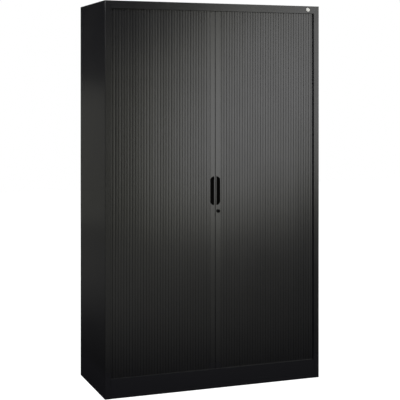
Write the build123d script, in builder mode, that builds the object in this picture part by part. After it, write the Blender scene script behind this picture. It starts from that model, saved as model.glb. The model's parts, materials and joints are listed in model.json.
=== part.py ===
from build123d import *
from math import pi
import os

# A tall steel cupboard with two tambour doors. Each door is a curtain of upright slats, hooked
# together, that a leading profile with a finger pull draws along a track from the middle of the
# front, round the corners and into a cavity between the side panel and an inner lining.
# Millimetres. X runs to the right, Y to the back and Z up. The origin is on the floor, under
# the middle of the carcase.

os.makedirs("parts", exist_ok=True)

# Overall size
width = 1200.0
depth = 430.0
height = 1980.0

# Carcase of folded sheet steel
sheet = 1.0
bend = 1.5  # outside radius of a fold
stile_width = 31.0
top_rail_height = 40.0
plinth_height = 98.0
panel_flange = 26.0  # stiffening folds of the base and the ceiling
seat = 0.3  # gap between neighbours that aren't welded

# Track and slats
slat_recess = 9.6  # from the front of the carcase back to the slats
slat_depth = 7.4
slat_sheet = 1.0
slat_pitch_wanted = 15.0
slat_gap = 0.8  # dark groove between two slats
slat_edge = 0.5  # bevel of a slat's front edges
hook_gap = 0.8  # from a slat's tongue to the lip of the hook that it hangs in
hook_lip = 2.8
tongue_end = 2.0  # a tongue stops this far short of the back of the curtain
curtain_hidden = 4.0  # the closed curtain's end is hidden this far behind the stile
groups = 12  # runs of slats that a curtain is divided into
track_play = 1.0  # on each side of the slats
track_wall = 2.8
track_height = 12.0
groove_depth = 9.0
track_bend = 25.0  # radius of the corners, at the middle of the groove
buffer_length = 8.0  # rubber in the ends of the grooves, which stops the open curtain
buffer_height = 8.0
buffer_fit = 0.1

# Doors
door_gap = 1.2
open_gap = 18.5  # from the open door's profile to the stile
profile_width = 27.4
profile_proud = 0.8  # in front of the slats
profile_depth = 13.7
profile_wall = 1.5
profile_edge = 1.4
profile_end_gap = 1.0
shoulder_width = 6.0  # strip of the profile, level with the slats, that the first slat hooks to
lip_width = 5.9  # face that is left between a finger pull and the meeting edge
glide_spigot = 15.0
pull_height = 148.0
pull_middle = 1015.0
pull_corner = 21.0
pull_wall = 1.5
pull_fit = 0.15

# Lock in the right-hand profile, with a hook that swings into the left-hand one
lock_height = 910.0
collar_radius = 9.0
collar_length = 6.0
housing_radius = 7.0
housing_length = 7.5
hole_clearance = 0.1
barrel_radius = 6.0
barrel_clearance = 0.05
barrel_recess = 1.0
keyway_length = 6.5
keyway_width = 1.5
keyway_depth = 8.0
clip_thickness = 1.0
clip_width = 16.0
clip_length = 22.0
clip_groove = 0.6
tail_square = 6.0
cam_thickness = 2.4
cam_hub = 7.0
cam_arm = 8.0
barb_length = 4.6
barb_rise = 10.0
barb_gap = 0.4  # from the back of the strike to the barb
cam_play = 1.0
cam_screw_head_radius = 4.5
cam_screw_head_height = 1.4
cam_screw_radius = 1.5
cam_screw_length = 5.0
strike_thickness = 1.2
strike_margin = 8.0

# Inside
lining_inset = 44.0  # from the outside of a side panel to the storage face of the lining
lining_hem = 9.0
lining_gap = 4.0  # behind the track at the front
upright_width = 30.0
upright_depth = 8.0
upright_end = 2.0
upright_front = 85.0  # from the front of the carcase to the middle of the front uprights
upright_rear = 75.0
slot_width = 4.0
slot_height = 12.0
slot_pitch = 128.0
shelf_count = 4
shelf_lip = 25.0
shelf_hem = 12.0
shelf_side_gap = 1.5
shelf_front_gap = 43.0
shelf_rear_gap = 25.0
clip_ledge = 13.0
clip_plate = 1.2
clip_ledge_width = 14.0
clip_tab_width = 3.4
clip_drop = 5.0  # from the middle of a slot down to the ledge
clip_hook_depth = 4.0

# Levelling feet behind the plinth
foot_side_inset = 75.0
foot_front_inset = 75.0
foot_rear_inset = 65.0
foot_across_flats = 32.0
foot_pad_height = 8.0
foot_lift = 0.5  # the wound-in feet clear the floor by this
stem_radius = 4.925
stem_top = 80.0
stem_socket = 5.0
stem_socket_depth = 5.0
nut_bore_radius = 5.0
nut_across_flats = 17.0
nut_height = 8.0
bracket_sheet = 2.0
bracket_web = 50.0
bracket_wing = 15.0
bracket_depth = 50.0
bracket_drop = 25.0
access_radius = 6.0

# Plain round disc on the top rail
disc_radius = 10.5
disc_thickness = 2.0
disc_bevel = 1.2
disc_from_side = 65.0

# Places that follow from the sizes
front = -depth / 2
back = depth / 2
inside_x = width / 2 - sheet
fitted_x = width / 2 - bend  # edge of a flat panel that fits between the folds of the sides
inside_back = back - 2 * sheet
jamb_x = width / 2 - stile_width
rail_bottom = height - top_rail_height
groove_width = slat_depth + 2 * track_play
track_width = groove_width + 2 * track_wall
slat_front = front + slat_recess
track_y = slat_front + slat_depth / 2
track_front_y = track_y - track_width / 2
track_x = inside_x - seat - track_width / 2
track_rear_y = inside_back - seat - track_width / 2
floor_z = plinth_height - track_height
ceiling_z = rail_bottom + track_height
profile_side = door_gap / 2 + profile_width
door_travel = jamb_x - open_gap - profile_side
curtain_start = profile_side + shoulder_width
curtain_length = jamb_x + curtain_hidden - curtain_start
slats = round(curtain_length / slat_pitch_wanted)
slat_pitch = curtain_length / slats
slat_bottom = plinth_height - groove_depth + seat
slat_top = rail_bottom + groove_depth - seat
straight_side = track_rear_y - track_y - 2 * track_bend
hook_width = slat_gap / 2 + slat_sheet + hook_gap + slat_sheet
curtain_end = curtain_start + curtain_length + hook_width
turned = door_travel + curtain_end - (track_x - track_bend)  # of the open curtain, past the front
rear_run = max(turned - pi * track_bend - straight_side, 0) + buffer_length
track_end_x = track_x - track_bend - rear_run
profile_front = slat_front - profile_proud
box_back = profile_front + profile_depth
profile_bottom = plinth_height + profile_end_gap
profile_top = rail_bottom - profile_end_gap
lining_x = width / 2 - lining_inset
lining_front = track_y + track_width / 2 + lining_gap + sheet
lining_rear = track_rear_y - track_width / 2 - sheet - seat
lining_end_x = track_end_x - lining_hem
upright_face = lining_x - upright_depth


def finish(piece, label):
    """Names a finished piece and writes it."""
    piece.part.label = label
    export_step(piece.part, f"parts/{label}.step")


def finish_pair(piece, label):
    """Writes a right-hand piece and its mirror image on the left."""
    finish(piece, f"{label}_right")
    with BuildPart() as twin:
        mirror(piece.part, about=Plane.YZ)
    finish(twin, f"{label}_left")


def rectangle_between(low, high, mode=Mode.ADD):
    """A rectangle from its low corner to its high corner, in the sketch that is open."""
    with Locations(low):
        Rectangle(high[0] - low[0], high[1] - low[1], align=Align.MIN, mode=mode)


def folded(points, side):
    """The section of a folded sheet, whose outer face runs along points, in the open sketch."""
    with BuildLine() as strip:
        FilletPolyline(*points, radius=bend)
        offset(amount=sheet, side=side)
    make_face(strip.edges())


def creased(points, side, thickness):
    """As folded, for a strip whose folds are too tight to round, in the open sketch."""
    with BuildLine() as strip:
        Polyline(*points)
        offset(amount=thickness, side=side, kind=Kind.INTERSECTION)
    make_face(strip.edges())


def facing_front(y):
    """A plane at depth y that faces the front: its own x is X and its own y is Z."""
    return Plane.XZ.offset(-y)


def across(x):
    """A plane at x that faces right: its own x is Y and its own y is Z."""
    return Plane.YZ.offset(x)


# ---------------------------------------------------------------- carcase

# A side panel runs from the fold behind its stile round to the flange that holds the back.
# That fold stops under the top panel.
with BuildPart() as side_panel:
    with BuildSketch(Plane.XY):
        folded(
            [
                (jamb_x, track_front_y - seat),
                (jamb_x, front),
                (width / 2, front),
                (width / 2, back),
                (jamb_x, back),
            ],
            Side.LEFT,
        )
    extrude(amount=height)
    with BuildSketch(Plane.XY.offset(height)):
        rectangle_between((jamb_x, front + sheet), (jamb_x + bend, track_front_y))
    extrude(amount=-sheet, mode=Mode.SUBTRACT)
finish_pair(side_panel, "side_panel")

# The top panel folds down into the top rail in front, and into a flange over the back panel.
with BuildPart() as top_panel:
    with BuildSketch(across(-jamb_x)):
        folded(
            [
                (track_front_y - seat, rail_bottom),
                (front, rail_bottom),
                (front, height),
                (back, height),
                (back, height - panel_flange),
            ],
            Side.RIGHT,
        )
    extrude(amount=2 * jamb_x)
    with BuildSketch(Plane.XY.offset(height - sheet)):
        rectangle_between((-fitted_x, front + sheet), (fitted_x, back - sheet))
    extrude(amount=sheet)
finish(top_panel, "top_panel")

with BuildPart() as plinth_front:
    with BuildSketch(across(-jamb_x)):
        folded(
            [
                (track_front_y - seat, 0),
                (front, 0),
                (front, plinth_height),
                (track_front_y - seat, plinth_height),
            ],
            Side.RIGHT,
        )
    extrude(amount=2 * jamb_x)
finish(plinth_front, "plinth_front")

with BuildPart() as back_panel:
    with BuildSketch(facing_front(inside_back)):
        rectangle_between((-fitted_x, 0), (fitted_x, height - bend))
    extrude(amount=-sheet)
finish(back_panel, "back_panel")

foot_x = width / 2 - foot_side_inset
foot_places = {
    "front_left": (-foot_x, front + foot_front_inset),
    "front_right": (foot_x, front + foot_front_inset),
    "rear_left": (-foot_x, back - foot_rear_inset),
    "rear_right": (foot_x, back - foot_rear_inset),
}

# The storage floor, with a hole over each foot through which an Allen key reaches its stem.
with BuildPart() as base_panel:
    with BuildSketch(across(-inside_x)):
        creased(
            [
                (track_front_y, floor_z - panel_flange),
                (track_front_y, floor_z),
                (inside_back, floor_z),
                (inside_back, floor_z - panel_flange),
            ],
            Side.RIGHT,
            sheet,
        )
    extrude(amount=2 * inside_x)
    with BuildSketch(Plane.XY.offset(floor_z)):
        with Locations(*foot_places.values()):
            Circle(access_radius)
    extrude(amount=-sheet, mode=Mode.SUBTRACT)
finish(base_panel, "base_panel")

with BuildPart() as ceiling_panel:
    with BuildSketch(across(-inside_x)):
        creased(
            [
                (track_front_y, height - sheet),
                (track_front_y, ceiling_z),
                (inside_back, ceiling_z),
                (inside_back, height - sheet),
            ],
            Side.LEFT,
            sheet,
        )
    extrude(amount=2 * inside_x)
finish(ceiling_panel, "ceiling_panel")

# The lining keeps what is stored away from the curtain, which runs behind it and round the
# rear corner.
with BuildPart() as inner_side:
    with BuildSketch(Plane.XY.offset(floor_z)):
        creased(
            [
                (lining_x - lining_hem, lining_front),
                (lining_x, lining_front),
                (lining_x, lining_rear),
                (lining_end_x, lining_rear),
                (lining_end_x, inside_back),
            ],
            Side.RIGHT,
            sheet,
        )
    extrude(amount=ceiling_z - floor_z)
finish_pair(inner_side, "inner_side")

# ---------------------------------------------------------------- shelves

upright_bottom = floor_z + upright_end
upright_top = ceiling_z - upright_end
slot_count = int((upright_top - upright_bottom) // slot_pitch)
first_slot = (upright_bottom + upright_top - (slot_count - 1) * slot_pitch) / 2
upright_ys = (front + upright_front, back - upright_rear)

with BuildPart() as shelf_uprights:
    for y in upright_ys:
        with BuildSketch(Plane.XY.offset(upright_bottom)):
            creased(
                [
                    (lining_x, y - upright_width / 2),
                    (upright_face, y - upright_width / 2),
                    (upright_face, y + upright_width / 2),
                    (lining_x, y + upright_width / 2),
                ],
                Side.RIGHT,
                sheet,
            )
    extrude(amount=upright_top - upright_bottom)
    with BuildSketch(across(upright_face)):
        for y in upright_ys:
            with Locations((y, (upright_bottom + upright_top) / 2)):
                with GridLocations(slot_pitch, slot_pitch, 1, slot_count):
                    Rectangle(slot_width, slot_height)
    extrude(amount=sheet, mode=Mode.SUBTRACT)
    mirror(about=Plane.YZ)
finish(shelf_uprights, "shelf_uprights")

shelf_slots = [
    first_slot + slot_pitch * round(slot_count * n / (shelf_count + 1))
    for n in range(1, shelf_count + 1)
]
shelf_end = upright_face - shelf_side_gap
shelf_front = front + shelf_front_gap
shelf_rear = back - shelf_rear_gap

for number, slot_z in enumerate(shelf_slots, 1):
    top = slot_z - clip_drop + shelf_lip
    bottom = top - shelf_lip
    with BuildPart() as shelf:
        with BuildSketch(across(-shelf_end)):
            creased(
                [
                    (shelf_front + shelf_hem, bottom),
                    (shelf_front, bottom),
                    (shelf_front, top),
                    (shelf_rear, top),
                    (shelf_rear, bottom),
                    (shelf_rear - shelf_hem, bottom),
                ],
                Side.RIGHT,
                sheet,
            )
        extrude(amount=2 * shelf_end)
        with BuildSketch(across(-shelf_end), across(shelf_end - sheet)):
            rectangle_between(
                (shelf_front + sheet / 2, bottom + sheet / 2),
                (shelf_rear - sheet / 2, top - sheet / 2),
            )
        extrude(amount=sheet)
    finish(shelf, f"shelf_{number}")

# Each clip has a ledge under the shelf, a plate on the upright and a tab hooked into a slot.
plate_x = upright_face - clip_plate
hook_x = upright_face + sheet + seat
with BuildPart() as shelf_clips:
    for y in upright_ys:
        for slot_z in shelf_slots:
            ledge_z = slot_z - clip_drop
            tab_z = slot_z - slot_height / 2
            with BuildSketch(facing_front(y - clip_ledge_width / 2)):
                rectangle_between(
                    (plate_x - clip_ledge, ledge_z - clip_plate), (upright_face, ledge_z)
                )
                rectangle_between((plate_x, ledge_z), (upright_face, slot_z + slot_height / 2))
            extrude(amount=-clip_ledge_width)
            with BuildSketch(facing_front(y - clip_tab_width / 2)):
                rectangle_between(
                    (upright_face, tab_z), (hook_x + clip_plate, tab_z + slot_height / 2)
                )
                rectangle_between(
                    (hook_x, tab_z - clip_hook_depth), (hook_x + clip_plate, tab_z)
                )
            extrude(amount=-clip_tab_width)
    mirror(about=Plane.YZ)
finish(shelf_clips, "shelf_clips")

# ---------------------------------------------------------------- tracks

track_corners = [
    (-track_end_x, track_rear_y),
    (-track_x, track_rear_y),
    (-track_x, track_y),
    (track_x, track_y),
    (track_x, track_rear_y),
    (track_end_x, track_rear_y),
]


def track(floor, groove):
    """A channel along the curtain's route: its back lies at z floor, its groove from z groove."""
    with BuildPart() as channel:
        with BuildSketch(Plane.XY.offset(floor)):
            with BuildLine():
                FilletPolyline(*track_corners, radius=track_bend)
            trace(line_width=track_width)
        extrude(amount=track_height)
        with BuildSketch(Plane.XY.offset(groove)):
            with BuildLine():
                FilletPolyline(*track_corners, radius=track_bend)
            trace(line_width=groove_width)
        extrude(amount=groove_depth, mode=Mode.SUBTRACT)
    return channel


finish(track(floor_z, plinth_height - groove_depth), "lower_track")
finish(track(rail_bottom, rail_bottom), "upper_track")

# ---------------------------------------------------------------- slat curtains


def hook_points(edge):
    """The hook on the outer edge of a slat that ends at x edge, along its trough's inner face."""
    wall = edge - slat_gap / 2
    lip = edge + slat_gap / 2 + slat_sheet + hook_gap
    floor = slat_depth - slat_sheet
    return [(wall, floor), (lip, floor), (lip, floor - hook_lip + slat_sheet)]


# A slat is one folded strip. Its inner edge is a tongue, and its outer edge is a hook whose
# trough takes the tongue of the next slat. Its front is at y = 0 and it fills one pitch.
with BuildSketch() as slat:
    creased(
        [
            (slat_gap / 2, slat_depth - tongue_end),
            (slat_gap / 2, 0),
            (slat_pitch - slat_gap / 2, 0),
            *hook_points(slat_pitch),
        ],
        Side.LEFT,
        slat_sheet,
    )
    chamfer(slat.vertices().group_by(Axis.Y)[0], length=slat_edge)

shared, spare_slats = divmod(slats, groups)
first = 0
for group in range(1, groups + 1):
    count = shared + (group <= spare_slats)
    with BuildPart() as curtain:
        with BuildSketch(Plane.XY.offset(slat_bottom)):
            places = [curtain_start + slat_pitch * n for n in range(first, first + count)]
            with Locations(*[(x, slat_front) for x in places]):
                add(slat.sketch)
        extrude(amount=slat_top - slat_bottom)
    finish(curtain, f"curtain_right_{group:02d}")
    with BuildPart() as curtain_twin:
        mirror(curtain.part, about=Plane.YZ)
    finish(curtain_twin, f"curtain_left_{group:02d}")
    first += count

# ---------------------------------------------------------------- leading profiles

meeting_x = door_gap / 2
web_x = meeting_x + lip_width  # face of the inner web that the fingers push on
pull_bottom = pull_middle - pull_height / 2
pull_top = pull_middle + pull_height / 2
lock_x = (web_x + profile_side - profile_wall) / 2  # middle of the profile's chamber
housing_back = profile_front + housing_length
cam_front = housing_back + seat
cam_back = cam_front + cam_thickness
cam_reach = lock_x + meeting_x + profile_wall + strike_thickness + barb_gap + barb_length


def pull_outline(sketch, straight, inset):
    """The finger pull's D in a sketch, from its straight side at x straight to its round corners."""
    rectangle_between((straight, pull_bottom + inset), (profile_side - inset, pull_top - inset))
    fillet(sketch.vertices().group_by(Axis.X)[-1], radius=pull_corner - inset)


def leading_profile(slots):
    """The right-hand leading profile. slots are the cam's openings: (low x, low z, high x, high z)."""
    with BuildPart() as profile:
        with BuildSketch(Plane.XY.offset(profile_bottom)) as section:
            rectangle_between((meeting_x, profile_front), (profile_side, box_back))
            fillet(section.vertices().group_by(Axis.Y)[0], radius=profile_edge)
            chamber_front = profile_front + profile_wall
            chamber_back = box_back - profile_wall
            rectangle_between(
                (web_x, chamber_front), (profile_side - profile_wall, chamber_back), Mode.SUBTRACT
            )
            rectangle_between(
                (meeting_x + profile_wall, chamber_front),
                (web_x - profile_wall, chamber_back),
                Mode.SUBTRACT,
            )
            shoulder = [(profile_side - profile_wall / 2, 0), (curtain_start - slat_gap / 2, 0)]
            strip = [(x, slat_front + y) for x, y in shoulder + hook_points(curtain_start)]
            creased(strip, Side.LEFT, slat_sheet)
        extrude(amount=profile_top - profile_bottom)
        with BuildSketch(facing_front(profile_front)) as opening:
            pull_outline(opening, web_x, 0)
        extrude(amount=profile_front - chamber_back, mode=Mode.SUBTRACT)
        for low_x, low_z, high_x, high_z in slots:
            with BuildSketch(facing_front(cam_front - cam_play)):
                rectangle_between((low_x, lock_height + low_z), (high_x, lock_height + high_z))
            extrude(amount=-(cam_thickness + 2 * cam_play), mode=Mode.SUBTRACT)
    return profile


# The cam's swing decides how tall each opening is, and the strike's opening is lower than the
# barb, which rises behind it.
swing = (cam_reach**2 + barb_rise**2) ** 0.5
strike_low = -((swing**2 - (lock_x + meeting_x) ** 2) ** 0.5) - cam_play
strike_high = cam_arm / 2 + cam_play
barb_high = barb_rise + cam_play

profile_right = leading_profile([(0, -swing - cam_play, web_x, barb_high)])
with BuildPart() as leading_profile_right:
    add(profile_right.part)
    with BuildSketch(facing_front(profile_front)):
        with Locations((lock_x, lock_height)):
            Circle(housing_radius + hole_clearance)
    extrude(amount=-profile_wall, mode=Mode.SUBTRACT)
finish(leading_profile_right, "leading_profile_right")

profile_left = leading_profile(
    [
        (0, strike_low, meeting_x + profile_wall, strike_high),
        (web_x - profile_wall, strike_low, web_x, barb_high),
    ]
)
with BuildPart() as leading_profile_left:
    mirror(profile_left.part, about=Plane.YZ)
finish(leading_profile_left, "leading_profile_left")

# The finger pull is an open moulding: the web of the profile closes its straight side.
with BuildPart() as handle_cup:
    cup_back = box_back - profile_wall - pull_fit
    with BuildSketch(facing_front(profile_front)) as moulding:
        pull_outline(moulding, web_x + pull_fit, pull_fit)
    extrude(amount=profile_front - cup_back)
    with BuildSketch(facing_front(profile_front)) as recess:
        pull_outline(recess, web_x, pull_fit + pull_wall)
    extrude(amount=profile_front - cup_back + pull_wall, mode=Mode.SUBTRACT)
finish_pair(handle_cup, "handle_cup")

# A glide closes each end of the profile's chamber and runs in the groove.
with BuildPart() as profile_glides:
    for end, track_side, inward in (
        (profile_bottom, plinth_height - groove_depth + seat, 1),
        (profile_top, rail_bottom + groove_depth - seat, -1),
    ):
        with BuildSketch(Plane.XY.offset(end)):
            rectangle_between(
                (web_x, track_y - groove_width / 2 + seat),
                (profile_side - profile_wall, track_y + groove_width / 2 - seat),
            )
        extrude(amount=track_side - end)
        with BuildSketch(Plane.XY.offset(end)):
            rectangle_between(
                (web_x + seat, profile_front + profile_wall + seat),
                (profile_side - profile_wall - seat, box_back - profile_wall - seat),
            )
        extrude(amount=inward * glide_spigot)
finish_pair(profile_glides, "profile_glides")

# ---------------------------------------------------------------- lock

collar_front = profile_front - collar_length
clip_front = profile_front + profile_wall
with BuildPart() as lock_housing:
    with BuildSketch(facing_front(collar_front)):
        with Locations((lock_x, lock_height)):
            Circle(collar_radius)
    extrude(amount=-collar_length)
    chamfer(lock_housing.faces().sort_by(Axis.Y)[0].edges(), length=1.2)
    with BuildSketch(facing_front(profile_front)):
        with Locations((lock_x, lock_height)):
            Circle(housing_radius)
    extrude(amount=-housing_length)
    with BuildSketch(facing_front(clip_front)):
        with Locations((lock_x, lock_height)):
            Rectangle(3 * housing_radius, 3 * housing_radius)
            Rectangle(
                2 * (housing_radius - clip_groove), 3 * housing_radius, mode=Mode.SUBTRACT
            )
    extrude(amount=-(clip_thickness + hole_clearance), mode=Mode.SUBTRACT)
    with BuildSketch(facing_front(collar_front)):
        with Locations((lock_x, lock_height)):
            Circle(barrel_radius + barrel_clearance)
    extrude(amount=-(collar_length + housing_length), mode=Mode.SUBTRACT)
finish(lock_housing, "lock_housing")

# A fork-shaped clip slides into two flats of the housing, behind the profile's front wall.
with BuildPart() as lock_clip:
    with BuildSketch(facing_front(clip_front)):
        with Locations((lock_x, lock_height)):
            Rectangle(clip_width, clip_length)
            with Locations((0, clip_length / 4)):
                Rectangle(
                    2 * (housing_radius - clip_groove + hole_clearance),
                    clip_length / 2,
                    mode=Mode.SUBTRACT,
                )
            Circle(housing_radius + hole_clearance, mode=Mode.SUBTRACT)
    extrude(amount=-clip_thickness)
finish(lock_clip, "lock_clip")

with BuildPart() as lock_barrel:
    with BuildSketch(facing_front(collar_front + barrel_recess)):
        with Locations((lock_x, lock_height)):
            Circle(barrel_radius)
    extrude(amount=-(collar_length + housing_length - barrel_recess))
    with BuildSketch(facing_front(collar_front + barrel_recess)):
        with Locations((lock_x, lock_height)):
            Rectangle(keyway_width, keyway_length)
    extrude(amount=-keyway_depth, mode=Mode.SUBTRACT)
    with BuildSketch(facing_front(housing_back)):
        with Locations((lock_x, lock_height)):
            Rectangle(tail_square, tail_square)
    extrude(amount=-(seat + cam_thickness))
    with BuildSketch(facing_front(cam_back)):
        with Locations((lock_x, lock_height)):
            Circle(cam_screw_radius)
    extrude(amount=cam_screw_length, mode=Mode.SUBTRACT)
finish(lock_barrel, "lock_barrel")

# At rest the cam hangs down inside the profile. A quarter turn swings it to the left.
with BuildPart() as lock_cam:
    with BuildSketch(facing_front(cam_front)):
        with Locations((lock_x, lock_height)):
            Circle(cam_hub)
        rectangle_between(
            (lock_x - cam_arm / 2, lock_height - cam_reach), (lock_x + cam_arm / 2, lock_height)
        )
        rectangle_between(
            (lock_x - barb_rise, lock_height - cam_reach),
            (lock_x, lock_height - cam_reach + barb_length),
        )
        with Locations((lock_x, lock_height)):
            Rectangle(tail_square, tail_square, mode=Mode.SUBTRACT)
    extrude(amount=-cam_thickness)
finish(lock_cam, "lock_cam")

with BuildPart() as lock_cam_screw:
    with BuildSketch(facing_front(cam_back)):
        with Locations((lock_x, lock_height)):
            Circle(cam_screw_head_radius)
    extrude(amount=-cam_screw_head_height)
    with BuildSketch(facing_front(cam_back)):
        with Locations((lock_x, lock_height)):
            Circle(cam_screw_radius - barrel_clearance)
    extrude(amount=cam_screw_length - seat)
finish(lock_cam_screw, "lock_cam_screw")

with BuildPart() as strike_plate:
    inner_wall = -(meeting_x + profile_wall)
    plate_front = profile_front + profile_wall
    with BuildSketch(across(inner_wall)):
        rectangle_between(
            (plate_front + seat, lock_height + strike_low - strike_margin),
            (box_back - profile_wall - seat, lock_height + strike_high + strike_margin),
        )
        rectangle_between(
            (cam_front - cam_play, lock_height + strike_low),
            (cam_back + cam_play, lock_height + strike_high),
            Mode.SUBTRACT,
        )
    extrude(amount=-strike_thickness)
finish(strike_plate, "strike_plate")

# ---------------------------------------------------------------- small parts

# A block of rubber closes each end of the two grooves. The last slat stops against it.
with BuildPart() as door_buffers:
    buffer_reach = groove_width / 2 - buffer_fit
    for groove_floor, rise in (
        (plinth_height - groove_depth, buffer_height),
        (rail_bottom + groove_depth, -buffer_height),
    ):
        with BuildSketch(Plane.XY.offset(groove_floor)):
            rectangle_between(
                (track_end_x, track_rear_y - buffer_reach),
                (track_end_x + buffer_length, track_rear_y + buffer_reach),
            )
        extrude(amount=rise)
    mirror(about=Plane.YZ)
finish(door_buffers, "door_buffers")

with BuildPart() as rail_disc:
    with BuildSketch(facing_front(front)):
        with Locations((width / 2 - disc_from_side, height - top_rail_height / 2)):
            Circle(disc_radius)
    extrude(amount=disc_thickness)
    chamfer(rail_disc.faces().sort_by(Axis.Y)[0].edges(), length=disc_bevel)
finish(rail_disc, "rail_disc")

# ---------------------------------------------------------------- levelling feet

with BuildPart() as foot_brackets:
    for foot_place in foot_places.values():
        middle, y = foot_place
        web_z = floor_z - sheet - bracket_drop
        with BuildSketch(facing_front(y - bracket_depth / 2)):
            creased(
                [
                    (middle - bracket_web / 2 - bracket_wing, floor_z - sheet),
                    (middle - bracket_web / 2, floor_z - sheet),
                    (middle - bracket_web / 2, web_z),
                    (middle + bracket_web / 2, web_z),
                    (middle + bracket_web / 2, floor_z - sheet),
                    (middle + bracket_web / 2 + bracket_wing, floor_z - sheet),
                ],
                Side.RIGHT,
                bracket_sheet,
            )
        extrude(amount=-bracket_depth)
        with BuildSketch(Plane.XY.offset(web_z)):
            with Locations(foot_place):
                RegularPolygon(nut_across_flats / 2, 6, major_radius=False)
        extrude(amount=nut_height)
        with BuildSketch(Plane.XY.offset(web_z - bracket_sheet)):
            with Locations(foot_place):
                Circle(nut_bore_radius)
        extrude(amount=nut_height + bracket_sheet, mode=Mode.SUBTRACT)
finish(foot_brackets, "foot_brackets")

for corner, foot_place in foot_places.items():
    with BuildPart() as levelling_foot:
        with BuildSketch(Plane.XY.offset(foot_lift)):
            with Locations(foot_place):
                RegularPolygon(foot_across_flats / 2, 6, major_radius=False)
        extrude(amount=foot_pad_height)
        with BuildSketch(Plane.XY.offset(foot_lift)):
            with Locations(foot_place):
                Circle(stem_radius)
        extrude(amount=stem_top - foot_lift)
        with BuildSketch(Plane.XY.offset(stem_top)):
            with Locations(foot_place):
                RegularPolygon(stem_socket / 2, 6, major_radius=False)
        extrude(amount=-stem_socket_depth, mode=Mode.SUBTRACT)
    finish(levelling_foot, f"levelling_foot_{corner}")
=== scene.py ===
import json
import math

import bpy
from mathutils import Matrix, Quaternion, Vector


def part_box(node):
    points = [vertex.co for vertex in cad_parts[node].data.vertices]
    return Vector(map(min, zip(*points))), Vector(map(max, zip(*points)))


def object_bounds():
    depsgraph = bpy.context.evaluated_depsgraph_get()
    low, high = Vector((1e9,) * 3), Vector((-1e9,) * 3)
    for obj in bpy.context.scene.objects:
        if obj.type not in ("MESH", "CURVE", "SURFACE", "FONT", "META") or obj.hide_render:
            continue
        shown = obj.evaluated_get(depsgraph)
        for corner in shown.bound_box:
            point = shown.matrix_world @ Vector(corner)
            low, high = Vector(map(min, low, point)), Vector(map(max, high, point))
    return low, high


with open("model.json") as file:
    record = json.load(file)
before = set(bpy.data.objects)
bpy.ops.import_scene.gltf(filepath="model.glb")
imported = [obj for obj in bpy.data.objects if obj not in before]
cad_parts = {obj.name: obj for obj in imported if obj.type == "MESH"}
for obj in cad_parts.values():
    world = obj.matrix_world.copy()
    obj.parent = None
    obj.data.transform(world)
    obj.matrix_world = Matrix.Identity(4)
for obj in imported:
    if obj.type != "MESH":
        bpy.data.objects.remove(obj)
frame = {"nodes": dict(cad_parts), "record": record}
cad_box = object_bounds()
scene = bpy.context.scene
scene.view_settings.view_transform = "Standard"
floor_z = cad_box[0][2]
front_y = cad_box[0][1]
back_y = cad_box[1][1]
side_x = cad_box[1][0]

# ---------------------------------------------------------------- camera

# The camera looks level, so that upright edges stay parallel. The picture is 400 by 400 pixels,
# and its horizon and vanishing point lie away from its middle, which the shift gives back.
picture = 400
horizon = Vector((103.43, 88.91))  # pixel that the camera's axis meets
camera_data = bpy.data.cameras.new("camera")
camera_data.sensor_width = 36
camera_data.lens = 84.57  # gives 939.7 pixels to the tangent of the angle off the axis
camera_data.shift_x = (picture / 2 - horizon.x) / picture
camera_data.shift_y = -(picture / 2 - horizon.y) / picture
level = math.radians(90)
turned_right = -0.3104
camera = bpy.data.objects.new("camera", camera_data)
camera.location = (-2.0287, -4.6429, 1.5399)
camera.rotation_euler = (level, 0, turned_right)
scene.collection.objects.link(camera)
scene.camera = camera

# ---------------------------------------------------------------- node helpers


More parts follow.
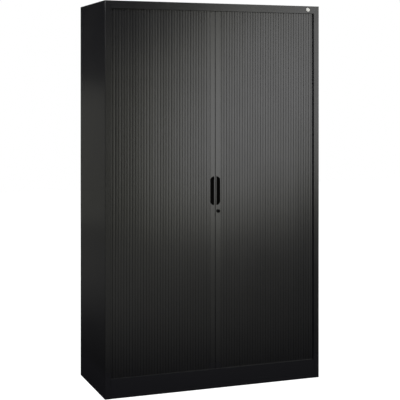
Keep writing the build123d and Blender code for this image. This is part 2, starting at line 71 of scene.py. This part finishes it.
class Shader:
    """A material's node tree, with its principled shader and the object's own coordinates."""

    def __init__(self, name):
        self.material = bpy.data.materials.new(name)
        self.material.use_nodes = True
        self.tree = self.material.node_tree
        self.principled = self.tree.nodes["Principled BSDF"]
        self.place = self.node("ShaderNodeTexCoord").outputs["Object"]

    def node(self, kind, **values):
        made = self.tree.nodes.new(kind)
        for key, value in values.items():
            if hasattr(made, key):
                setattr(made, key, value)
            else:
                made.inputs[key.replace("_", " ")].default_value = value
        return made

    def link(self, output, target):
        self.tree.links.new(output, target)
        return output

    def along(self, vector, axis):
        """One component of a vector."""
        split = self.node("ShaderNodeSeparateXYZ")
        self.link(vector, split.inputs[0])
        return split.outputs[axis]

    def size_along(self, vector, axis):
        """The size of one component of a vector, without its sign."""
        return self.compute("ABSOLUTE", self.along(vector, axis), 0)

    def normal(self):
        """The direction that the surface looks in."""
        return self.node("ShaderNodeNewGeometry").outputs["Normal"]

    def noise(self, scale, stretch=(1, 1, 1), detail=3, roughness=0.55):
        """Noise with scale cells to a metre, squeezed along each axis by stretch."""
        mapping = self.node("ShaderNodeMapping", Scale=stretch)
        self.link(self.place, mapping.inputs["Vector"])
        texture = self.node(
            "ShaderNodeTexNoise", Scale=scale, Detail=detail, Roughness=roughness
        )
        self.link(mapping.outputs["Vector"], texture.inputs["Vector"])
        return texture.outputs["Fac"]

    def spread(self, value, low, high, input_low=0.3, input_high=0.7):
        """Maps a value onto low to high."""
        ranged = self.node("ShaderNodeMapRange")
        ranged.inputs["From Min"].default_value = input_low
        ranged.inputs["From Max"].default_value = input_high
        ranged.inputs["To Min"].default_value = low
        ranged.inputs["To Max"].default_value = high
        self.link(value, ranged.inputs["Value"])
        return ranged.outputs["Result"]

    def distance(self, point, squeeze=(1, 1, 1)):
        """How far the shaded place is from a point, with each axis scaled by squeeze."""
        mapping = self.node("ShaderNodeMapping", Scale=squeeze)
        mapping.inputs["Location"].default_value = [-p * k for p, k in zip(point, squeeze)]
        self.link(self.place, mapping.inputs["Vector"])
        measured = self.node("ShaderNodeVectorMath", operation="LENGTH")
        self.link(mapping.outputs["Vector"], measured.inputs[0])
        return measured.outputs["Value"]

    def blend(self, factor, first, second):
        """A colour between two, by a factor. Each is a colour or a socket."""
        mix = self.node("ShaderNodeMix", data_type="RGBA")
        for side, colour in (("A", first), ("B", second)):
            if isinstance(colour, bpy.types.NodeSocket):
                self.link(colour, mix.inputs[side])
            else:
                mix.inputs[side].default_value = (*colour, 1)
        self.link(factor, mix.inputs["Factor"])
        return mix.outputs["Result"]

    def compute(self, operation, first, second):
        """A math node on a socket and a socket or number."""
        math_node = self.node("ShaderNodeMath", operation=operation)
        self.link(first, math_node.inputs[0])
        if isinstance(second, bpy.types.NodeSocket):
            self.link(second, math_node.inputs[1])
        else:
            math_node.inputs[1].default_value = second
        return math_node.outputs["Value"]

    def bumps(self, *layers):
        """Bump layers, each a height, its distance in metres and its strength."""
        normal = None
        for height, distance, strength in layers:
            bump = self.node("ShaderNodeBump", Distance=distance, Strength=strength)
            self.link(height, bump.inputs["Height"])
            if normal:
                self.link(normal, bump.inputs["Normal"])
            normal = bump.outputs["Normal"]
        self.link(normal, self.principled.inputs["Normal"])

    def set(self, **values):
        for key, value in values.items():
            socket = self.principled.inputs[key.replace("_", " ")]
            if isinstance(value, bpy.types.NodeSocket):
                self.link(value, socket)
            else:
                socket.default_value = value


# ---------------------------------------------------------------- finishes

jet = (0.0056, 0.0056, 0.0068)
jet_faded = (0.0072, 0.0072, 0.0082)
jet_low_down = (0.0105, 0.0105, 0.0125)
dust = (0.035, 0.034, 0.031)
dust_cover = 0.45  # the most that the dust hides of the colour under it
coat_ior = 1.5
low_down_shine = 0.12  # specular level of the paint near the floor
scuffed_below = (0.10, 0.16)  # fully and not at all, in metres over the floor
fold_shine = 0.15  # part of the shine that is left round a fold


def dusty(shader, colour):
    """Puts a thin, uneven film of dust on the faces that look up, behind the wiped front folds."""
    depth = shader.along(shader.place, "Y")
    unwiped = shader.spread(depth, 0, 1, front_y + 0.006, front_y + 0.016)
    level_face = shader.spread(shader.along(shader.normal(), "Z"), 0, 1, 0.5, 0.95)
    film = shader.compute("MULTIPLY", level_face, shader.noise(38.0, detail=5))
    film = shader.compute("MULTIPLY", film, unwiped)
    return shader.blend(shader.compute("MULTIPLY", film, dust_cover), colour, dust)


def on_folds(shader):
    """1 where the surface turns round a fold, 0 on flat faces and on the folds round the top."""
    normal = shader.normal()
    squarest = shader.size_along(normal, "X")
    for axis in ("Y", "Z"):
        squarest = shader.compute("MAXIMUM", squarest, shader.size_along(normal, axis))
    below_top = shader.spread(shader.along(shader.place, "Z"), 1, 0, 1.93, 1.96)
    return shader.compute("MULTIPLY", shader.spread(squarest, 1, 0, 0.90, 0.995), below_top)


def coated_steel(name, *, grain, grain_strength, rough_low, rough_high, shine):
    """Black powder coat: a fine peel, faint clouds of gloss, and panels that aren't quite flat.

    The coat is thin and dull round the folds, and greyer and duller near the floor.
    """
    coat = Shader(name)
    clouds = coat.noise(5.0, detail=4)
    peel = coat.noise(grain, detail=2)
    sag = coat.noise(2.2, detail=1)
    scuffs = coat.noise(60.0, stretch=(0.15, 1, 1), detail=5, roughness=0.7)
    low_down = coat.spread(coat.along(coat.place, "Z"), 1, 0, *scuffed_below)
    scuffed = coat.compute("MULTIPLY", coat.spread(scuffs, 0, 0.08, 0.55, 0.75), low_down)
    worn_shine = coat.spread(low_down, shine, low_down_shine, 0, 1)
    left_on_folds = coat.spread(on_folds(coat), 1, fold_shine, 0, 1)
    worn_shine = coat.compute("MULTIPLY", worn_shine, left_on_folds)
    upright_face = coat.spread(coat.along(coat.normal(), "Z"), 1, 0, 0.1, 0.6)
    greyed = coat.compute("MULTIPLY", low_down, upright_face)
    black = coat.blend(coat.spread(clouds, 0, 1), jet, jet_faded)
    coat.set(
        Base_Color=dusty(coat, coat.blend(greyed, black, jet_low_down)),
        Roughness=coat.compute("ADD", coat.spread(clouds, rough_low, rough_high), scuffed),
        Specular_IOR_Level=worn_shine,
        IOR=coat_ior,
    )
    coat.bumps((sag, 0.004, 0.2), (peel, 0.00012, grain_strength))
    return coat.material


def slat_coat(start, pitch, face_y):
    """Coil-coated slats: smooth along their length, slightly crowned, each leaning its own way.

    Behind the faces at face_y the hooks get rough and lose their shine: painted shade in the
    grooves.
    """
    most_lean = 0.009  # slope
    edge_slope = 0.035  # of the crown, at a slat's edges
    doors_apart = 50  # keeps the slats of one door from repeating the leans of the other
    coat = Shader("slat_enamel")
    from_middle = coat.compute("SUBTRACT", coat.size_along(coat.place, "X"), start)
    slats = coat.compute("DIVIDE", from_middle, pitch)
    number = coat.compute("FLOOR", slats, 0)
    side = coat.compute("SIGN", coat.along(coat.place, "X"), 0)
    door = coat.compute("MULTIPLY", side, doors_apart)
    own = coat.node("ShaderNodeTexWhiteNoise", noise_dimensions="1D")
    coat.link(coat.compute("ADD", number, door), own.inputs["W"])
    lean = coat.spread(own.outputs["Value"], -most_lean, most_lean, 0, 1)
    across_slat = coat.compute("FRACT", slats, 0)
    leaning = coat.compute("MULTIPLY", coat.compute("MULTIPLY", across_slat, pitch), lean)
    off_middle = coat.compute("SUBTRACT", across_slat, 0.5)
    squared = coat.compute("MULTIPLY", off_middle, off_middle)
    shape = coat.compute("ADD", leaning, coat.compute("MULTIPLY", squared, -edge_slope * pitch))
    rolled = coat.noise(420.0, stretch=(1, 1, 0.01), detail=2)
    peel = coat.noise(1300.0, detail=2)
    clouds = coat.noise(6.0, detail=3)
    rubbed = coat.noise(150.0, stretch=(1, 1, 0.02), detail=4, roughness=0.65)
    depth = coat.along(coat.place, "Y")
    # Painted shade in the grooves: the hooks behind the faces are made rougher here.
    groove_shade_rough = coat.spread(depth, 0, 0.4, face_y + 0.0003, face_y + 0.001)
    streaks = coat.spread(rubbed, -0.008, 0.012)
    rough = coat.compute("ADD", coat.spread(clouds, 0.205, 0.225), streaks)
    rough = coat.compute("ADD", rough, groove_shade_rough)
    # Painted shade in the grooves: the hooks behind the faces lose their shine.
    shine = coat.spread(depth, 0.5, 0.0, face_y + 0.0001, face_y + 0.0005)
    coat.set(
        Base_Color=dusty(coat, coat.blend(coat.spread(rolled, 0, 1), jet, jet_faded)),
        Roughness=rough,
        Specular_IOR_Level=shine,
        IOR=coat_ior,
    )
    coat.bumps((shape, 1.0, 1.0), (rolled, 0.00004, 0.15), (peel, 0.00006, 0.2))
    return coat.material


def moulded_plastic(name, colour, *, grain, rough_low, rough_high, shine=0.5):
    """Black moulding with an eroded grain and slightly polished high spots."""
    plastic = Shader(name)
    grain_height = plastic.noise(grain, detail=4, roughness=0.7)
    wear = plastic.noise(40.0, detail=3)
    lighter = tuple(c * 1.5 for c in colour)
    plastic.set(
        Base_Color=plastic.blend(plastic.spread(wear, 0, 1), colour, lighter),
        Roughness=plastic.spread(grain_height, rough_low, rough_high),
        Specular_IOR_Level=shine,
        IOR=1.48,
    )
    plastic.bumps((grain_height, 0.0002, 0.6))
    return plastic.material


def rubber():
    """Matt rubber with a grey bloom in patches."""
    plain = (0.010, 0.010, 0.010)
    bloomed = (0.022, 0.021, 0.020)
    block = Shader("black_rubber")
    bloom = block.noise(90.0, detail=4)
    block.set(
        Base_Color=block.blend(block.spread(bloom, 0, 1), plain, bloomed),
        Roughness=block.spread(bloom, 0.7, 0.85),
        IOR=1.5,
    )
    block.bumps((block.noise(700.0, detail=2), 0.0002, 0.4))
    return block.material


def zinc_plate():
    """Bright zinc with the faint clouds that passivation leaves, and rolling marks."""
    bluish = (0.50, 0.51, 0.52)
    clear = (0.62, 0.62, 0.60)
    zinc = Shader("zinc_plated_steel")
    clouds = zinc.noise(60.0, detail=4)
    marks = zinc.noise(900.0, stretch=(1, 1, 0.06), detail=2)
    zinc.set(
        Base_Color=zinc.blend(zinc.spread(clouds, 0, 1), bluish, clear),
        Metallic=1.0,
        Roughness=zinc.spread(clouds, 0.28, 0.42),
    )
    zinc.bumps((marks, 0.0001, 0.3))
    return zinc.material


def lock_finish():
    """The lock's matt black coat, rubbed a little brighter in spots by keys and fingers."""
    matt = (0.002, 0.002, 0.002)
    handled = (0.004, 0.004, 0.004)
    cast = Shader("lock_black")
    skin = cast.noise(1500.0, detail=3)
    rubbed = cast.noise(260.0, detail=4)
    cast.set(
        Base_Color=cast.blend(cast.spread(rubbed, 0, 1, 0.45, 0.75), matt, handled),
        Roughness=cast.spread(skin, 0.48, 0.6),
        Specular_IOR_Level=0.06,
        IOR=1.5,
    )
    cast.bumps((skin, 0.0001, 0.3))
    return cast.material


def turned_disc(centre):
    """Satin aluminium with the rings that turning leaves, round the disc's own middle."""
    dulled = (0.60, 0.60, 0.59)
    bright = (0.70, 0.70, 0.68)
    metal = Shader("disc_metal")
    mapping = metal.node("ShaderNodeMapping", vector_type="POINT")
    mapping.inputs["Location"].default_value = [-c for c in centre]
    metal.link(metal.place, mapping.inputs["Vector"])
    rings = metal.node(
        "ShaderNodeTexWave",
        wave_type="RINGS",
        rings_direction="Y",
        Scale=900.0,
        Distortion=1.5,
        Detail=2.0,
    )
    metal.link(mapping.outputs["Vector"], rings.inputs["Vector"])
    haze = metal.noise(300.0, detail=3)
    metal.set(
        Base_Color=metal.blend(metal.spread(haze, 0, 1), dulled, bright),
        Metallic=1.0,
        Roughness=metal.spread(rings.outputs["Fac"], 0.42, 0.55, 0, 1),
    )
    metal.bumps((rings.outputs["Fac"], 0.00004, 0.4))
    return metal.material


disc_low, disc_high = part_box("rail_disc")
first_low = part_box("curtain_right_01")[0]
second_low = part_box("curtain_right_02")[0]
slats_in_a_group = 3
slat_pitch = (second_low.x - first_low.x) / slats_in_a_group
finishes = {
    "painted_steel": coated_steel(
        "painted_steel",
        grain=900.0,
        grain_strength=0.3,
        rough_low=0.20,
        rough_high=0.24,
        shine=0.43,
    ),
    "slat_enamel": slat_coat(first_low.x, slat_pitch, first_low.y),
    "profile_enamel": coated_steel(
        "profile_enamel",
        grain=1400.0,
        grain_strength=0.2,
        rough_low=0.20,
        rough_high=0.23,
        shine=0.56,
    ),
    "track_plastic": moulded_plastic(
        "track_plastic", (0.008, 0.008, 0.008), grain=1600.0, rough_low=0.40, rough_high=0.52
    ),
    "pull_plastic": moulded_plastic(
        "pull_plastic",
        (0.0013, 0.0013, 0.0011),
        grain=1800.0,
        rough_low=0.55,
        rough_high=0.7,
        shine=0.04,
    ),
    "lock_black": lock_finish(),
    "zinc_plated_steel": zinc_plate(),
    "disc_metal": turned_disc((disc_low + disc_high) / 2),
    "black_rubber": rubber(),
    "foot_plastic": moulded_plastic(
        "foot_plastic", (0.012, 0.012, 0.012), grain=900.0, rough_low=0.5, rough_high=0.65
    ),
}

# ---------------------------------------------------------------- carried-over nodes

# Every node keeps its exact CAD shape. A small rounding, in metres, catches the light along
# its edges.
rounding = {
    "painted_steel": 0.00012,
    "slat_enamel": 0.00025,
    "profile_enamel": 0.0003,
    "track_plastic": 0.0004,
    "pull_plastic": 0.0004,
    "lock_black": 0.0002,
    "zinc_plated_steel": 0.00015,
    "disc_metal": 0.0002,
    "black_rubber": 0.0004,
    "foot_plastic": 0.0004,
}
slot_of = {s["node"]: s["material_slot"] for s in frame["record"]["subparts"]}
for name, node in frame["nodes"].items():
    slot = slot_of[name]
    node.data.materials.clear()
    node.data.materials.append(finishes[slot])
    weld = node.modifiers.new("weld", "WELD")
    weld.merge_threshold = 1e-6
    bevel = node.modifiers.new("rounding", "BEVEL")
    bevel.width = rounding[slot]
    bevel.segments = 2
    bevel.limit_method = "ANGLE"
    bevel.angle_limit = math.radians(35)
    bevel.harden_normals = True

# ---------------------------------------------------------------- studio

white = (1, 1, 1)
warm_white = (1, 1, 0.88)
warm_grey = (1, 1, 0.74)


def seen_as_background(shader, white_here):
    """1 for camera rays, and for mirrored and refracted rays where the white backdrop stands."""
    seen_by = shader.node("ShaderNodeLightPath").outputs
    mirrored = shader.compute("MAXIMUM", seen_by["Is Glossy Ray"], seen_by["Is Transmission Ray"])
    mirrored = shader.compute("MULTIPLY", mirrored, white_here)
    return shader.compute("MAXIMUM", seen_by["Is Camera Ray"], mirrored)


def floor_sheet(half_width):
    """A square sheet on the floor, as an object."""
    near, far = -half_width, half_width
    corners = [(near, near), (far, near), (far, far), (near, far)]
    mesh = bpy.data.meshes.new("floor")
    mesh.from_pydata([(x, y, floor_z) for x, y in corners], [], [(0, 1, 2, 3)])
    sheet = bpy.data.objects.new("floor", mesh)
    scene.collection.objects.link(sheet)
    return sheet


def white_floor(shader):
    """What the camera sees: white with the object's shadow, and painted shade under the object,
    where the glow stops.
    """
    shadowed = shader.node("ShaderNodeBsdfDiffuse", Color=(0.25, 0.25, 0.25, 1))
    lit = shader.node("ShaderNodeEmission", Color=(1, 1, 1, 1))
    across = shader.compute("DIVIDE", shader.size_along(shader.place, "X"), side_x)
    deep = shader.compute("DIVIDE", shader.size_along(shader.place, "Y"), back_y)
    # Painted shade: the floor's glow stops under the object.
    outside = shader.spread(shader.compute("MAXIMUM", across, deep), 0, 0.96, 0.97, 1.0)
    shader.link(outside, lit.inputs["Strength"])
    seen = shader.node("ShaderNodeAddShader")
    shader.link(shadowed.outputs[0], seen.inputs[0])
    shader.link(lit.outputs[0], seen.inputs[1])
    return seen.outputs[0]


def mirrored_floor_light_and_shade(shader):
    """What the paint mirrors: painted shade, with painted pools of light at the front left, rear
    left and rear right.
    """
    near_painted_shade = (0.006, 0.006, 0.006)
    far_painted_shade = (0.06, 0.06, 0.06)
    rear_left_painted_pool = (0.14, 0.14, 0.13)
    rear_right_painted_pool = (0.55, 0.55, 0.55)
    front_left_painted_pool = (0.44, 0.44, 0.40)
    # Painted shade, darkest round the object; the paler patches are painted pools of light.
    outward = shader.spread(shader.distance((0, 0, floor_z)), 0, 1, 0.7, 3.5)
    from_front_left = shader.distance((-0.05, -3.9, floor_z), (1, 0.67, 1))
    front_left = shader.spread(from_front_left, 1, 0, 0.3, 2.4)
    rear_left = shader.spread(shader.distance((-2.4, 5.0, floor_z)), 1, 0, 0.5, 4.0)
    rightward = shader.spread(shader.along(shader.place, "X"), 0, 1, -0.4, 1.2)
    rearward = shader.spread(shader.along(shader.place, "Y"), 0, 1, 0.6, 2.4)
    rear_right = shader.compute("MULTIPLY", rightward, rearward)
    colour = shader.blend(outward, near_painted_shade, far_painted_shade)
    colour = shader.blend(rear_left, colour, rear_left_painted_pool)
    colour = shader.blend(rear_right, colour, rear_right_painted_pool)
    painted_floor_bsdf = shader.node("ShaderNodeBsdfDiffuse")
    shader.link(shader.blend(front_left, colour, front_left_painted_pool), painted_floor_bsdf.inputs["Color"])
    return painted_floor_bsdf.outputs[0]


def stage_floor():
    """A floor that camera rays see white and mirrored rays see as painted shade and pools of
    light.
    """
    floor = floor_sheet(9.0)
    shader = Shader("floor")
    mix = shader.node("ShaderNodeMixShader")
    shader.link(shader.node("ShaderNodeLightPath").outputs["Is Camera Ray"], mix.inputs[0])
    shader.link(mirrored_floor_light_and_shade(shader), mix.inputs[1])
    shader.link(white_floor(shader), mix.inputs[2])
    shader.link(mix.outputs[0], shader.tree.nodes["Material Output"].inputs["Surface"])
    floor.data.materials.append(shader.material)


class WorldShader(Shader):
    """The same helpers on the world's node tree."""

    def __init__(self):
        world = bpy.data.worlds.new("studio")
        scene.world = world
        world.use_nodes = True
        self.tree = world.node_tree
        self.place = self.node("ShaderNodeTexCoord").outputs["Generated"]


def white_world():
    """White to the camera. Mirrored rays see a white backdrop straight behind the object, soft
    light from the right and above, and a dark room elsewhere.
    """
    dark = (0.02, 0.02, 0.02)
    soft_grey = (0.32, 0.32, 0.32)
    shader = WorldShader()
    upward = shader.along(shader.place, "Z")
    rightward = shader.spread(shader.along(shader.place, "X"), 0, 1, 0.72, 0.95)
    aside = shader.compute("MAXIMUM", rightward, shader.spread(upward, 0, 1, 0.4, 0.9))
    room = shader.blend(aside, dark, soft_grey)
    behind = shader.spread(shader.along(shader.place, "Y"), 0, 1, 0.992, 0.998)
    colour = shader.blend(seen_as_background(shader, behind), room, white)
    shader.link(colour, shader.tree.nodes["Background"].inputs["Color"])


def softbox(
    name, *, place, aim, width, height, radiance, colour=white, shape="RECTANGLE", turn=0
):
    """A soft lamp of a given brightness, turned in its own plane. The camera doesn't see it."""
    lamp = bpy.data.lights.new(name, "AREA")
    lamp.shape = shape
    lamp.color = colour
    lamp.size = width
    lamp.size_y = height
    fill = math.pi / 4 if shape == "ELLIPSE" else 1
    lamp.energy = radiance * math.pi * width * height * fill
    light = bpy.data.objects.new(name, lamp)
    light.location = place
    facing = (Vector(aim) - Vector(place)).to_track_quat("-Z", "Y")
    light.rotation_euler = (facing @ Quaternion((0, 0, 1), math.radians(turn))).to_euler()
    light.visible_camera = False
    scene.collection.objects.link(light)


stage_floor()
white_world()

# The doors mirror the three key lamps, which hang in one upright plane in front at the right.
key_tilt = 42
softbox(
    "key_core",
    place=(3.22, -5.2, 1.62),
    aim=(3.22, 0.0, 1.62),
    width=3.4,
    height=1.7,
    radiance=3.3,
    shape="ELLIPSE",
    turn=key_tilt,
)
softbox(
    "key_rim",
    place=(3.16, -5.2, 1.62),
    aim=(3.16, 0.0, 1.62),
    width=4.4,
    height=2.5,
    radiance=2.2,
    colour=warm_white,
    shape="ELLIPSE",
    turn=key_tilt,
)
softbox(
    "key_edge",
    place=(1.32, -5.2, 0.9),
    aim=(1.32, 0.0, 0.9),
    width=0.9,
    height=1.8,
    radiance=0.6,
    colour=warm_grey,
)

# These light the colours themselves, from places that the front and the left side don't
# mirror.
softbox(
    "overhead",
    place=(-1.6, -4.0, 4.9),
    aim=(0.0, 0.0, 0.9),
    width=3.2,
    height=2.4,
    radiance=10.0,
)
softbox("top", place=(0.0, 0.3, 4.8), aim=(0.0, 0.0, 1.0), width=2.6, height=2.2, radiance=4.0)
softbox("left", place=(-4.4, -1.0, 4.2), aim=(-0.6, 0.0, 0.8), width=3, height=3, radiance=7.0)

# The left side mirrors this one, low behind it at the left.
softbox(
    "rear_left",
    place=(-2.1, 4.8, 0.86),
    aim=(-0.6, 0.0, 1.2),
    width=2.5,
    height=1.5,
    radiance=0.13,
    colour=warm_white,
    shape="ELLIPSE",
)

# This one lights the back.
softbox("back", place=(2.6, 4.6, 3.2), aim=(0.0, 0.2, 1.0), width=3, height=2.4, radiance=5.0)
